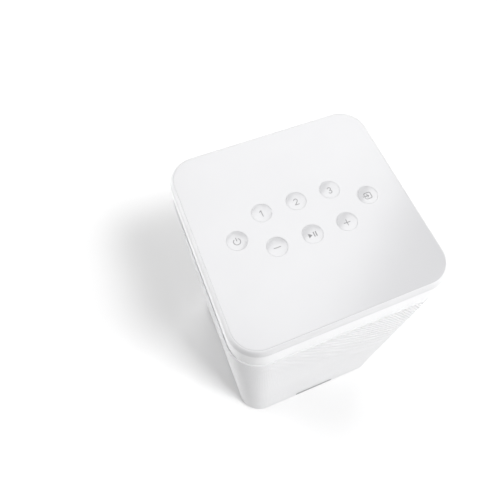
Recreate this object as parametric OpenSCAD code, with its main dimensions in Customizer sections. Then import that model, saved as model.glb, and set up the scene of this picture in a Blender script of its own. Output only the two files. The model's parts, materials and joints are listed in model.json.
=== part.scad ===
// Compact smart speaker: a square column with rounded corners, a perforated
// sleeve all round, and a cap with eight dished keys.
// Origin at the centre of the footprint on the ground, front towards -Y, +Z up.

/* [Outer shape] */
// Width and depth of the square column
body_w = 130; // [129.6:0.2:132]
// Overall height from the ground to the top panel
body_h = 216; // [216:1:226]
// Radius of the vertical corners at the sleeve
corner_r = 18.4; // [17:0.2:20]
// Height of the rubber feet below the base
foot_h = 1.5; // [1:0.1:2]

/* [Cap] */
// Height of the cap above the sleeve
cap_h = 20; // [19:0.5:22]
// How far the cap's lower edge stands inside the sleeve's outline
cap_step = 0.6; // [0.4:0.1:0.8]
// How far the cap leans in over its height
cap_lean = 0.8; // [0.4:0.1:1]
// Width of the rounded edge round the top panel
edge_w = 2.0; // [1.6:0.1:2.4]
// Height of the rounded edge round the top panel
edge_h = 2.6; // [2:0.1:3]

/* [Keys] */
// Distance between the middle keys along a row
key_pitch = 21.3; // [20:0.1:22]
// Distance of each row from the middle of the panel
row_y = 11.5; // [10.5:0.1:12.5]
// Distance of the power and source keys from the middle
end_key_x = 40.4; // [39:0.1:42]
// Radius of a key
key_r = 5.6; // [5.2:0.1:5.8]
// Radius of the dish that a key and the panel share
dish_r = 6.3; // [6.1:0.1:6.6]
// Depth of the dish
dish_depth = 0.9; // [0.6:0.1:1.1]
// How far a key travels
key_travel = 0.5; // [0.3:0.1:0.6]

/* [Sleeve] */
// Thickness of the perforated sheet
sleeve_t = 0.8; // [0.6:0.1:1]
// Height of the base's edge that shows below the sleeve
skirt_h = 3; // [2.5:0.5:4]

/* [Drivers] */
// Height of the woofer's axis
woofer_z = 102; // [101:1:103]
// Height of the tweeter's axis
tweeter_z = 168; // [168:1:169]

/* [Hidden] */
$fn = 64;

half = body_w / 2;
corner_at = half - corner_r;   // where the corner axes stand
slack = 0.15;                  // gap between fitted parts of one housing

// Cap and panel
cap_z = body_h - cap_h;
panel_t = 2;
panel_z = body_h - panel_t;
deck_t = 2.4;
deck_z = panel_z - deck_t;
cap_wall = 2.4;
spigot_h = 4;
rim_in = cap_step + cap_lean + edge_w;
panel_in = rim_in + slack;
edge_steps = 8;

// Sleeve and base
sleeve_z = foot_h + skirt_h;
sleeve_top = cap_z - 0.4;
floor_t = 3;
tray_rim_h = 7.5;

// Keys
power_at = [-end_key_x, 0];
source_at = [end_key_x, 0];
one_at = [-key_pitch, row_y];
two_at = [0, row_y];
three_at = [key_pitch, row_y];
minus_at = [-key_pitch, -row_y];
play_at = [0, -row_y];
plus_at = [key_pitch, -row_y];
KEYS = [power_at, source_at, one_at, two_at, three_at, minus_at, play_at, plus_at];
key_gap = 0.08;
flange_r = 6.9;
flange_t = 1.5;
flange_z = panel_z - 0.1 - flange_t;
plunger_r = 1.5;
plunger_end = deck_z - 3.2;
dish_sphere_r = (dish_r * dish_r + dish_depth * dish_depth) / (2 * dish_depth);
switch_top = plunger_end + 0.6;
switch_h = 4.2;
board_t = 1.6;
button_board_z = switch_top - switch_h - board_t;
button_board_w = 106;
button_board_d = 46;
board_boss_at = [47, 18];

// Acoustic cabinet
cabinet_w = 112;
cabinet_z = 48;
cabinet_top = 190;
cabinet_h = cabinet_top - cabinet_z;
cabinet_mid = (cabinet_z + cabinet_top) / 2;
cabinet_r = 8;
cabinet_wall = 3.2;
baffle_y = -55.5;
baffle_t = 4;
gasket_t = 0.6;
shell_y = baffle_y + baffle_t + gasket_t;
cabinet_back = 54;
post_at = [46, 46];
cap_post_at = [48, 46];
baffle_screw_x = 50;
BAFFLE_SCREW_Z = [66, 104, 142, 172];
port_z = 166;
port_r = 15;
port_wall = 2;
lead_x = 44;
lead_r = 1.2;
LEAD_Y = [14, 24];

// Woofer, measured from the baffle's front face, positive to the rear
frame_r = 47;
frame_t = 3;
basket_hole_r = 40;
surround_out = 38.4;
cone_r = 31;
coil_r = 12.5;
basket_end = 33;
top_plate_t = 4;
magnet_t = 12;
back_plate_t = 5;
woofer_screw_at = 43;

// Tweeter, measured the same way
tweeter_r = 17.5;
dome_r = 9.5;
tweeter_hole_r = 15.6;
tweeter_screw_at = 14.6;

// Electronics bay
proud = 0.4;                   // how far the badge and the rear panel stand out
bay_board_z = 14;
bay_board_top = bay_board_z + board_t;
panel_mid_z = 30;
panel_w = 78;
panel_h = 36;
panel_face = half + proud;
socket_face = panel_face - 0.6;
inlet_x = -27;
inlet_z = 21.9;
pin_gap = 4.3;
aux_face = panel_face - 3.5;   // the jack's mouth lies just behind the rear panel
aux_x = -3;
aux_z = 21;
aux_r = 1.8;
network_x = 13;
usb_x = 31;
setup_x = 30;
setup_z = 34;
setup_r = 3;

// ---------- shared shapes ----------

module rounded_square(w, h, r) {
    square([w - 2 * r, h], center = true);
    square([w, h - 2 * r], center = true);
    for (x = [-1, 1], y = [-1, 1])
        translate([x * (w / 2 - r), y * (h / 2 - r)]) circle(r);
}

// A plate with the column's outline, pulled in by inset
module column(inset, z, h) {
    translate([0, 0, z]) linear_extrude(h)
        rounded_square(body_w - 2 * inset, body_w - 2 * inset, corner_r - inset);
}

// A wall with the column's outline between two insets
module column_wall(outer_inset, inner_inset, z, h) {
    difference() {
        column(outer_inset, z, h);
        column(inner_inset, z - 1, h + 2);
    }
}

// Sweeps a profile round the column: x is the distance from a corner's axis, y is the height
module swept_round() {
    for (turn = [0:90:270]) rotate([0, 0, turn]) {
        translate([corner_at, corner_at, 0]) rotate_extrude(angle = 90) children();
        translate([corner_at, corner_at, 0]) rotate([90, 0, 0])
            linear_extrude(2 * corner_at) children();
    }
}

// Puts a shape drawn along +Z on an axis that runs back from the baffle's face
module behind_baffle(z) {
    translate([0, baffle_y, z]) rotate([-90, 0, 0]) children();
}

module disc(r, z, h) {
    translate([0, 0, z]) cylinder(r = r, h = h);
}

module ring(r_out, r_in, z, h) {
    difference() {
        disc(r_out, z, h);
        disc(r_in, z - 1, h + 2);
    }
}

module block(x0, x1, y0, y1, z0, z1) {
    translate([x0, y0, z0]) cube([x1 - x0, y1 - y0, z1 - z0]);
}

module at_four(p) {
    for (x = [-1, 1], y = [-1, 1]) translate([x * p[0], y * p[1], 0]) children();
}

// A round wire from one point to the next
module wire(points, r) {
    for (i = [0 : len(points) - 2]) {
        run = points[i + 1] - points[i];
        translate(points[i])
            rotate([0, acos(run[2] / norm(run)), atan2(run[1], run[0])])
                cylinder(r = r, h = norm(run));
        if (i > 0) translate(points[i]) sphere(r * 1.05);
    }
}

// A half roll of thin sheet between two radii, bulging towards -Z
module half_roll(r_in, r_out, t, z) {
    mid = (r_in + r_out) / 2;
    roll = (r_out - r_in) / 2;
    rotate_extrude() intersection() {
        translate([mid, z]) difference() {
            circle(roll);
            circle(roll - t);
        }
        translate([r_in, z - roll]) square([2 * roll, roll]);
    }
}

// A domed cap of thin sheet, bulging towards -Z from a rim at z
module domed_cap(rim_r, rise, t, z) {
    big = (rim_r * rim_r + rise * rise) / (2 * rise);
    intersection() {
        translate([0, 0, z - rise + big]) difference() {
            sphere(big);
            sphere(big - t);
        }
        disc(rim_r, z - rise - 1, rise + 1);
    }
}

// ---------- cap and keys ----------

module dish_at(p) {
    translate([p[0], p[1], body_h - dish_depth + dish_sphere_r])
        sphere(dish_sphere_r, $fn = 128);
}

module top_panel() {
    color("whitesmoke") difference() {
        column(panel_in, panel_z, panel_t);
        for (p = KEYS) {
            translate([p[0], p[1], 0]) disc(key_r + key_gap, panel_z - 1, panel_t + 2);
            dish_at(p);
        }
    }
}

// Profile of the cap's wall, with the lean and the rounded edge
module cap_profile() {
    low = corner_r - cap_step;
    high = low - cap_lean;
    arc = [for (i = [0 : edge_steps]) let (a = 90 * i / edge_steps)
        [high - edge_w + edge_w * cos(a), body_h - edge_h + edge_h * sin(a)]];
    polygon(concat(
        [[low - cap_wall, cap_z], [low, cap_z]],
        arc,
        [[corner_r - rim_in, panel_z], [corner_r - rim_in - 2, panel_z],
         [corner_r - rim_in - 2, deck_z], [low - cap_wall - 0.6, deck_z]]));
}

module top_cap() {
    spigot_out = sleeve_t + 0.3;
    wall_in = cap_step + cap_wall;
    color("white") difference() {
        union() {
            swept_round() cap_profile();
            column(rim_in + 1, deck_z, deck_t);
            column_wall(spigot_out, wall_in, cap_z - spigot_h, spigot_h + 1);
            column_wall(wall_in - 1, wall_in + 1, cap_z - spigot_h, deck_z - cap_z + spigot_h + 1);
            at_four(cap_post_at) disc(4.2, cabinet_top + 0.2, deck_z - cabinet_top);
            at_four(board_boss_at)
                disc(3.2, button_board_z + board_t, deck_z - button_board_z - board_t + 0.2);
        }
        for (p = KEYS) translate([p[0], p[1], 0]) disc(flange_r + 0.3, deck_z - 1, deck_t + 2);
        at_four(cap_post_at) {
            disc(1.7, cabinet_top - 1, deck_z - cabinet_top + 5);
            disc(3.2, panel_z - 2.1, 3);
        }
        at_four(board_boss_at) disc(1.15, button_board_z, deck_z - button_board_z);
    }
}

module key_at(p) {
    translate([p[0], p[1], 0]) {
        difference() {
            disc(key_r, flange_z, body_h - flange_z);
            translate([0, 0, body_h - dish_depth + dish_sphere_r])
                sphere(dish_sphere_r, $fn = 128);
        }
        ring(flange_r, key_r - 1, flange_z, flange_t);
        disc(plunger_r, plunger_end, flange_z - plunger_end + 0.5);
    }
}

module power_button() { color("whitesmoke") key_at(power_at); }
module source_button() { color("whitesmoke") key_at(source_at); }
module preset_one_button() { color("whitesmoke") key_at(one_at); }
module preset_two_button() { color("whitesmoke") key_at(two_at); }
module preset_three_button() { color("whitesmoke") key_at(three_at); }
module minus_button() { color("whitesmoke") key_at(minus_at); }
module play_button() { color("whitesmoke") key_at(play_at); }
module plus_button() { color("whitesmoke") key_at(plus_at); }

module button_board() {
    color("seagreen") difference() {
        translate([0, 0, button_board_z]) linear_extrude(board_t)
            rounded_square(button_board_w, button_board_d, 3);
        at_four(board_boss_at) disc(1.6, button_board_z - 1, board_t + 2);
    }
}

module tact_switches() {
    color("dimgray") for (p = KEYS) translate([p[0], p[1], 0]) difference() {
        block(-3.1, 3.1, -3.1, 3.1, button_board_z + board_t, switch_top);
        disc(plunger_r + 0.15, plunger_end - key_travel - 0.5, 3);
    }
}

// Flat flex from the key board, down the back of the cabinet to the main board
module button_ribbon() {
    ribbon_y = 58;
    ribbon_t = 0.4;
    top_z = button_board_z - 2.4;
    low_z = bay_board_top + 3;
    color("ivory") {
        block(-8, 8, 14, ribbon_y + ribbon_t, top_z, top_z + ribbon_t);
        block(-8, 8, ribbon_y, ribbon_y + ribbon_t, low_z + 14, top_z + ribbon_t);
        block(-8, 8, 40, ribbon_y + ribbon_t, low_z + 14, low_z + 14 + ribbon_t);
        block(-8, 8, 40, 40 + ribbon_t, low_z, low_z + 14 + ribbon_t);
        block(-9, 9, 12, 16, top_z + ribbon_t, button_board_z);
        block(-9, 9, 38, 42, bay_board_top, low_z);
    }
}

// ---------- sleeve and base ----------

module grille_sleeve() {
    color("gainsboro") difference() {
        column_wall(0, sleeve_t, sleeve_z, sleeve_top - sleeve_z);
        translate([0, half + 5, panel_mid_z]) rotate([90, 0, 0])
            linear_extrude(10) rounded_square(panel_w, panel_h, 3);
    }
}

module grille_liner() {
    liner_in = sleeve_t + 0.05;
    color("white") difference() {
        column_wall(liner_in, liner_in + 0.3, sleeve_z + tray_rim_h + 0.5,
            cap_z - spigot_h - sleeve_z - tray_rim_h - 1);
        translate([0, half + 5, panel_mid_z]) rotate([90, 0, 0])
            linear_extrude(10) rounded_square(panel_w + 8, panel_h + 8, 4);
    }
}

// A plain bar with round ends, low on the front
module badge_plate() {
    badge_w = 36;
    badge_h = 6;
    color("dimgray") translate([0, -half, sleeve_z + 6]) rotate([90, 0, 0])
        linear_extrude(proud) rounded_square(badge_w, badge_h, badge_h / 2 - 0.1);
}

module base_tray() {
    standoffs = [[-36, -44], [-18, -44], [-36, 30], [-18, 30], [-4, -44], [36, -44], [-4, 30], [36, 30]];
    color("white") difference() {
        union() {
            column(0.4, foot_h, floor_t);
            column_wall(sleeve_t + 0.3, sleeve_t + 2.3, foot_h + floor_t - 0.5, tray_rim_h + 0.5);
            at_four(post_at) disc(4.5, foot_h + 1, cabinet_z - foot_h - 1);
            for (p = standoffs) translate([p[0], p[1], 0])
                disc(2.6, foot_h + 1, bay_board_z - foot_h - 1);
        }
        block(-43, 43, half - 8, half, 9.4, 30);
        at_four(post_at) {
            disc(1.7, foot_h - 1, cabinet_z);
            disc(3.3, foot_h - 1, 3.5);
        }
    }
}

module rubber_feet() {
    color("dimgray") at_four(post_at) {
        disc(8.5, 0.5, foot_h - 0.5);
        cylinder(r1 = 8, r2 = 8.5, h = 0.5);
    }
}

// An opening in the rear panel for a socket that stands on the main board
module socket_opening(x, half_w, top_z) {
    block(x - half_w, x + half_w, half - 8, half + 1, bay_board_top - 0.2, top_z);
}

// A lid for the rear window: a plug that fills it and a thin lip that laps over the sleeve
module rear_panel() {
    face_gap = 0.3;
    plug_t = 3;
    lip = 3;
    lip_t = proud - 0.05;
    color("dimgray") difference() {
        union() {
            translate([0, panel_face - lip_t / 2, panel_mid_z]) rotate([90, 0, 0]) linear_extrude(plug_t)
                rounded_square(panel_w - 2 * face_gap, panel_h - 2 * face_gap, 2.7);
            translate([0, panel_face, panel_mid_z]) rotate([90, 0, 0]) linear_extrude(lip_t)
                rounded_square(panel_w + 2 * lip, panel_h + 2 * lip, 3 + lip);
        }
        socket_opening(inlet_x, 11.2, inlet_z + 6.4);
        socket_opening(network_x, 8.2, 29.3);
        socket_opening(usb_x, 7.2, 22.9);
        translate([aux_x, half + 1, aux_z]) rotate([90, 0, 0]) cylinder(r = 4.2, h = 9);
        translate([setup_x, half + 1, setup_z]) rotate([90, 0, 0])
            cylinder(r = setup_r + 0.1, h = 9);
    }
}

module setup_button() {
    head_h = 3.8;
    color("silver") translate([setup_x, panel_face - 0.3, setup_z]) rotate([90, 0, 0]) {
        cylinder(r = setup_r, h = head_h);
        translate([0, 0, head_h]) cylinder(r = setup_r + 1, h = 1);
        cylinder(r = 1.5, h = head_h + 11.8);
    }
}

module setup_switch() {
    can_y = 46;
    color("seagreen") difference() {
        union() {
            block(setup_x - 5, setup_x + 5, can_y - 1.6, can_y, bay_board_top, setup_z + 5);
            block(setup_x - 3.1, setup_x + 3.1, can_y, can_y + 4.4, setup_z - 3.1, setup_z + 3.1);
        }
        translate([setup_x, can_y + 1.6, setup_z]) rotate([-90, 0, 0]) cylinder(r = 1.65, h = 9);
    }
}

// ---------- acoustic cabinet ----------

module front_baffle() {
    color("dimgray") difference() {
        translate([0, baffle_y, cabinet_mid]) rotate([-90, 0, 0]) linear_extrude(baffle_t)
            rounded_square(cabinet_w, cabinet_h, cabinet_r);
        behind_baffle(woofer_z) {
            disc(basket_hole_r, -1, baffle_t + 2);
            for (a = [45:90:315]) rotate(a) translate([woofer_screw_at, 0, 0]) disc(1.25, -1, 9);
        }
        behind_baffle(tweeter_z) {
            disc(tweeter_hole_r - 3.2, -1, baffle_t + 2);
            disc(tweeter_hole_r - 0.4, 2, baffle_t);
            for (a = [90:120:330]) rotate(a) translate([tweeter_screw_at, 0, 0]) disc(0.95, -1, 9);
        }
        for (x = [-1, 1], z = BAFFLE_SCREW_Z) translate([x * baffle_screw_x, baffle_y - 1, z])
            rotate([-90, 0, 0]) cylinder(r = 1.7, h = 9);
    }
}

module cabinet_gasket() {
    color("black") translate([0, baffle_y + baffle_t, cabinet_mid]) rotate([-90, 0, 0])
        linear_extrude(gasket_t) difference() {
            rounded_square(cabinet_w, cabinet_h, cabinet_r);
            rounded_square(cabinet_w - 6, cabinet_h - 6, cabinet_r - 3);
            for (x = [-1, 1], z = BAFFLE_SCREW_Z)
                translate([x * baffle_screw_x, cabinet_mid - z]) circle(1.8);
        }
}

module cabinet_shell() {
    inner_w = cabinet_w - 2 * cabinet_wall;
    inner_h = cabinet_h - 2 * cabinet_wall;
    depth = cabinet_back - shell_y;
    color("gray") difference() {
        union() {
            translate([0, shell_y, cabinet_mid]) rotate([-90, 0, 0]) difference() {
                linear_extrude(depth) rounded_square(cabinet_w, cabinet_h, cabinet_r);
                translate([0, 0, -1]) linear_extrude(depth - cabinet_wall + 1)
                    rounded_square(inner_w, inner_h, cabinet_r - cabinet_wall);
            }
            at_four(post_at) disc(4, cabinet_z + 1, 12);
            at_four(cap_post_at) disc(4, cabinet_top - 12, 11);
            for (x = [-1, 1], z = BAFFLE_SCREW_Z)
                translate([x * baffle_screw_x, shell_y, z]) rotate([-90, 0, 0])
                    cylinder(r = 3.4, h = 10);
        }
        at_four(post_at) disc(1.5, cabinet_z - 1, 12);
        at_four(cap_post_at) disc(1.5, cabinet_top - 10, 11);
        for (x = [-1, 1], z = BAFFLE_SCREW_Z)
            translate([x * baffle_screw_x, shell_y - 1, z]) rotate([-90, 0, 0])
                cylinder(r = 1.15, h = 9);
        translate([0, cabinet_back - 6, port_z]) rotate([-90, 0, 0])
            cylinder(r = port_r + port_wall + 0.1, h = 8);
        for (y = LEAD_Y) translate([lead_x, y, cabinet_z - 1]) cylinder(r = lead_r + 0.2, h = 8);
    }
}

// Bass reflex tube with a flange outside the cabinet's back
module bass_port() {
    tube_len = 50;
    color("black") translate([0, cabinet_back, port_z]) rotate([90, 0, 0]) {
        ring(port_r + port_wall, port_r, -1.8, tube_len + 1.8);
        ring(port_r + port_wall + 4, port_r + port_wall - 0.5, -1.8, 1.7);
    }
}

module damping_wadding() {
    color("lightgray") block(-49, 49, 36, cabinet_back - cabinet_wall - 0.2, 66, 142);
}

// ---------- woofer ----------

module woofer_basket() {
    color("black") behind_baffle(woofer_z) difference() {
        rotate_extrude() polygon([
            [frame_r, -frame_t], [frame_r, -0.05], [basket_hole_r - 0.4, -0.05],
            [basket_hole_r - 0.6, 6], [28, basket_end], [28, basket_end + 1.9],
            [14.6, basket_end + 1.9], [14.6, basket_end],
            [26.4, basket_end], [surround_out, 5], [surround_out, -1.6],
            [basket_hole_r, -1.6], [basket_hole_r, -frame_t]]);
        for (a = [0:60:150]) rotate([0, 0, a + 30])
            block(-60, 60, -8, 8, 9, basket_end - 5);
        for (a = [45:90:315]) rotate(a) translate([woofer_screw_at, 0, 0]) disc(1.9, -9, 18);
    }
}

module woofer_surround() {
    color("black") behind_baffle(woofer_z) {
        half_roll(cone_r + 0.2, surround_out - 0.2, 0.6, -1.9);
        ring(basket_hole_r - 0.3, surround_out - 0.8, -1.9, 0.3);
    }
}

module woofer_cone() {
    color("black") behind_baffle(woofer_z) rotate_extrude() polygon([
        [cone_r, -1.9], [cone_r, -1.1], [coil_r + 2.4, 13.4],
        [coil_r + 2.4, 14.6], [coil_r + 0.01, 14.6], [coil_r + 0.01, 13]]);
}

module woofer_dust_cap() {
    color("black") behind_baffle(woofer_z) domed_cap(12.4, 4.2, 0.5, 13);
}

module woofer_coil() {
    color("peru") behind_baffle(woofer_z) {
        ring(coil_r, coil_r - 0.3, 13, basket_end + 9 - 13);
        ring(coil_r + 0.5, coil_r, basket_end + 0.9, 6.8);
    }
}

module woofer_spider() {
    spider_z = 21;
    color("goldenrod") behind_baffle(woofer_z) {
        ring(15.3, coil_r + 0.05, spider_z, 0.5);
        half_roll(15, 18.7, 0.5, spider_z + 0.5);
        half_roll(18.5, 22.2, 0.5, spider_z + 0.5);
        ring(28.5, 21.9, spider_z, 0.5);
    }
}

module woofer_top_plate() {
    color("silver") behind_baffle(woofer_z)
        ring(28, coil_r + 0.9, basket_end + 2, top_plate_t);
}

module woofer_magnet() {
    color("dimgray") behind_baffle(woofer_z)
        ring(32, 18, basket_end + 2 + top_plate_t, magnet_t);
}

module woofer_yoke() {
    plate_z = basket_end + 2 + top_plate_t + magnet_t;
    color("silver") behind_baffle(woofer_z) {
        disc(28, plate_z, back_plate_t);
        disc(coil_r - 0.9, basket_end + 2, plate_z - basket_end - 1);
    }
}

// ---------- tweeter ----------

module tweeter_faceplate() {
    color("black") behind_baffle(tweeter_z) difference() {
        rotate_extrude() polygon([
            [tweeter_r, -2.2], [tweeter_r, -0.05], [tweeter_hole_r - 3.4, -0.05],
            [tweeter_hole_r - 3.4, -1], [tweeter_hole_r - 2.4, -2.2]]);
        for (a = [90:120:330]) rotate(a) translate([tweeter_screw_at, 0, 0]) disc(1.2, -9, 18);
    }
}

module tweeter_surround() {
    color("black") behind_baffle(tweeter_z)
        half_roll(dome_r + 0.1, tweeter_hole_r - 3.5, 0.25, 0);
}

module tweeter_dome() {
    color("silver") behind_baffle(tweeter_z) domed_cap(dome_r, 3, 0.3, 0);
}

module tweeter_coil() {
    color("peru") behind_baffle(tweeter_z) ring(dome_r, dome_r - 0.4, 0, 4.4);
}

module tweeter_motor() {
    color("dimgray") behind_baffle(tweeter_z) rotate_extrude() polygon([
        [0, 1], [dome_r - 0.8, 1], [dome_r - 0.8, 7], [11.5, 7], [11.5, 4.5], [dome_r + 0.5, 4.5],
        [dome_r + 0.5, 2.1], [tweeter_hole_r - 0.6, 2.1], [tweeter_hole_r - 0.6, 13], [0, 13]]);
}

// ---------- electronics ----------

module main_board() {
    color("seagreen") {
        block(-9, 40, -50, 60, bay_board_z, bay_board_top);
        block(0, 10, -12, -2, bay_board_top, bay_board_top + 1.2);
        block(14, 26, 24, 34, bay_board_top, bay_board_top + 1.5);
        for (y = [-26:9:1]) translate([34, y, bay_board_top]) cylinder(r = 3.2, h = 8);
        block(32, 39, 10, 28, bay_board_top, bay_board_top + 4);
    }
}

module heat_sink() {
    color("silver") {
        block(-4, 26, -46, -26, bay_board_top + 0.1, bay_board_top + 3);
        for (x = [-4:4.8:24]) block(x, x + 1.2, -46, -26, bay_board_top + 3, bay_board_top + 20);
    }
}

module radio_module() {
    color("silver") {
        block(12, 28, -14, 10, bay_board_top + 0.05, bay_board_top + 1);
        block(13, 27, -13, 4, bay_board_top + 1, bay_board_top + 3.2);
    }
}

module aux_socket() {
    color("black") translate([aux_x, aux_face, aux_z]) rotate([90, 0, 0]) difference() {
        union() {
            cylinder(r = 4, h = 14);
            translate([-5.4, -5.3, 3.4]) cube([10.8, 10.6, 10.6]);
        }
        translate([0, 0, -1]) cylinder(r = aux_r, h = 13);
    }
}

module network_socket() {
    color("silver") difference() {
        block(network_x - 8, network_x + 8, socket_face - 18, socket_face, bay_board_top + 0.05, 29.1);
        block(network_x - 5.9, network_x + 5.9, socket_face - 13, socket_face + 1, 18.4, 26.6);
    }
}

module usb_socket() {
    color("silver") difference() {
        block(usb_x - 7, usb_x + 7, socket_face - 13, socket_face, bay_board_top + 0.05, 22.6);
        block(usb_x - 6.2, usb_x + 6.2, socket_face - 12, socket_face + 1, 16.4, 21.8);
    }
}

module power_board() {
    color("darkgoldenrod") {
        block(-40, -12, -50, 60, bay_board_z, bay_board_top);
        block(-38, -30, 20, 34, bay_board_top, bay_board_top + 12);
        block(-26, -14, 24, 32, bay_board_top, bay_board_top + 9);
    }
}

module power_transformer() {
    color("gold") {
        block(-36, -16, -10, 12, bay_board_top + 0.1, bay_board_top + 4);
        block(-34, -18, -8, 10, bay_board_top + 4, bay_board_top + 14);
        block(-36, -16, -10, 12, bay_board_top + 14, bay_board_top + 18);
    }
}

module power_capacitors() {
    color("navy") for (y = [-40, -26])
        translate([-26, y, bay_board_top + 0.1]) cylinder(r = 6, h = 22);
}

module mains_inlet() {
    color("black") difference() {
        block(inlet_x - 11, inlet_x + 11, socket_face - 20, socket_face,
            bay_board_top + 0.05, inlet_z + 6.2);
        translate([inlet_x, socket_face + 1, inlet_z]) rotate([90, 0, 0])
            linear_extrude(14) rounded_square(17.2, 8.6, 4.2);
        for (x = [-1, 1]) translate([inlet_x + x * pin_gap, socket_face, inlet_z])
            rotate([90, 0, 0]) cylinder(r = 1.25, h = 30);
    }
}

module inlet_pins() {
    color("silver") for (x = [-1, 1])
        translate([inlet_x + x * pin_gap, socket_face - 3, inlet_z]) rotate([90, 0, 0])
            cylinder(r = 1.2, h = 19);
}

module woofer_lead() {
    y = LEAD_Y[0];
    color("firebrick") wire([[39.1, y, bay_board_top + 2], [lead_x, y, bay_board_top + 2],
        [lead_x, y, 84], [lead_x, -20, 90], [30, -22, 97]], lead_r);
}

module tweeter_lead() {
    y = LEAD_Y[1];
    color("firebrick") wire([[39.1, y, bay_board_top + 2], [lead_x, y, bay_board_top + 2],
        [lead_x, y, 154], [lead_x, -28, 160], [15, -38, 168]], lead_r);
}

// ---------- fasteners ----------

// A pan-head screw along -Z, with its head's seat at z = 0
module screw(shank_r, head_r, head_h, len) {
    disc(head_r, 0, head_h);
    translate([0, 0, -len]) cylinder(r = shank_r, h = len + 0.1);
}

module cap_screws() {
    color("silver") at_four(cap_post_at) translate([0, 0, panel_z - 2.1])
        screw(1.4, 2.9, 1.8, panel_z - cabinet_top + 6);
}

module button_board_screws() {
    color("silver") at_four(board_boss_at) translate([0, 0, button_board_z]) mirror([0, 0, 1])
        screw(1.05, 2.4, 1.6, 7);
}

module baffle_screws() {
    color("silver") for (x = [-1, 1], z = BAFFLE_SCREW_Z)
        translate([x * baffle_screw_x, baffle_y, z]) rotate([90, 0, 0]) screw(1.05, 2.6, 1.8, 11);
}

module driver_screws() {
    color("silver") {
        behind_baffle(woofer_z) for (a = [45:90:315]) rotate(a)
            translate([woofer_screw_at, 0, -frame_t]) mirror([0, 0, 1]) screw(1.15, 2.8, 1.8, 6.5);
        behind_baffle(tweeter_z) for (a = [90:120:330]) rotate(a)
            translate([tweeter_screw_at, 0, -2.2]) mirror([0, 0, 1]) screw(0.85, 1.9, 1.2, 3.6);
    }
}

module base_screws() {
    color("silver") at_four(post_at) translate([0, 0, foot_h + 2.5]) mirror([0, 0, 1])
        screw(1.4, 3, 2, 51);
}

top_panel();
top_cap();
power_button();
source_button();
preset_one_button();
preset_two_button();
preset_three_button();
minus_button();
play_button();
plus_button();
button_board();
tact_switches();
button_ribbon();
grille_sleeve();
grille_liner();
badge_plate();
base_tray();
rubber_feet();
rear_panel();
setup_button();
setup_switch();
front_baffle();
cabinet_gasket();
cabinet_shell();
bass_port();
damping_wadding();
woofer_basket();
woofer_surround();
woofer_cone();
woofer_dust_cap();
woofer_coil();
woofer_spider();
woofer_top_plate();
woofer_magnet();
woofer_yoke();
tweeter_faceplate();
tweeter_surround();
tweeter_dome();
tweeter_coil();
tweeter_motor();
main_board();
heat_sink();
radio_module();
aux_socket();
network_socket();
usb_socket();
power_board();
power_transformer();
power_capacitors();
mains_inlet();
inlet_pins();
woofer_lead();
tweeter_lead();
cap_screws();
button_board_screws();
baffle_screws();
driver_screws();
base_screws();
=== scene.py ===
"""A compact column speaker with a perforated sleeve, rebuilt for looks on its CAD frame.

All lengths are metres. The row frame has its origin on the ground under the middle of the
speaker, the front towards -Y and +Z up.
"""

import json
import math

import bmesh
import bpy
import numpy as np
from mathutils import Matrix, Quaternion, Vector, noise


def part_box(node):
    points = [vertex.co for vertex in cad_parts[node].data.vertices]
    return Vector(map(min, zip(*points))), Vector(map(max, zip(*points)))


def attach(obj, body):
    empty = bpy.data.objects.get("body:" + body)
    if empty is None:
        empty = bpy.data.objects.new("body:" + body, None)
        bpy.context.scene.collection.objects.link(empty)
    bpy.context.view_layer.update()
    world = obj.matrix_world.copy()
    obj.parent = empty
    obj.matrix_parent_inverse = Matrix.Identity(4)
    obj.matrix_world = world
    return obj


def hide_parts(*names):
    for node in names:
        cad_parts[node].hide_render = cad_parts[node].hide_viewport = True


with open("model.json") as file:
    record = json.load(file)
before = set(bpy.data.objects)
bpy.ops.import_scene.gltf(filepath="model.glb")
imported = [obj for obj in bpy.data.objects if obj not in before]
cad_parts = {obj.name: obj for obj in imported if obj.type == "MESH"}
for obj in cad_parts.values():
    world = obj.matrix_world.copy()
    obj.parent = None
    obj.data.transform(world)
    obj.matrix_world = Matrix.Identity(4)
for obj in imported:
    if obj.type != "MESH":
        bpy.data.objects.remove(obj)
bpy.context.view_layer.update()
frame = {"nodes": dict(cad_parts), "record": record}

MM = 0.001

# ---------- sizes ----------

sleeve_low, sleeve_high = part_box("grille_sleeve")
HALF = sleeve_high.x                   # half the width of the square column
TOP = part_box("top_panel")[1].z         # height of the top panel
CORNER_R = 18.4 * MM
CORNER_AT = HALF - CORNER_R            # where the corner axes stand

# cap: it stands inside the sleeve's outline, leans in a little and has a rounded edge
CAP_H = 20 * MM
CAP_Z = TOP - CAP_H
CAP_STEP = 0.6 * MM
CAP_LEAN = 0.8 * MM
EDGE_W = 2.0 * MM
EDGE_H = 4.6 * MM
CAP_WALL = 2.4 * MM
SPIGOT_H = 4 * MM
DECK_T = 2.4 * MM
PANEL_T = 2 * MM
RIM_IN = CAP_STEP + CAP_LEAN + EDGE_W
PANEL_IN = RIM_IN + 0.02 * MM
PANEL_Z = TOP - PANEL_T
DECK_Z = PANEL_Z - DECK_T

# keys
KEY_R = 5.63 * MM
KEY_GAP = 0.03 * MM
FLANGE_R = 6.9 * MM
DISH_R = 6.3 * MM
DISH_DEPTH = 0.9 * MM
DISH_BLEND = 0.07 * MM                 # softness of the dish's rim
DISH_FLAT_R = 8.6 * MM                 # where the panel is flat again

# sleeve
SLEEVE_T = 0.8 * MM
HOLE_PITCH = 2.2 * MM
HOLE_R = 0.7 * MM
HOLE_SIDES = 8

# floor and view
VIEW_TILT = (24.938, -1.4525, -22.5057)      # camera angles in degrees
VIEW_FROM = (-0.069506, -0.108552, 0.431935)
VIEW_LENS = 31.995
VIEW_SHIFT = (-0.0477, 0.01918)
LIGHT_DISTANCE = 1.6


# ---------- node helpers ----------

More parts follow.
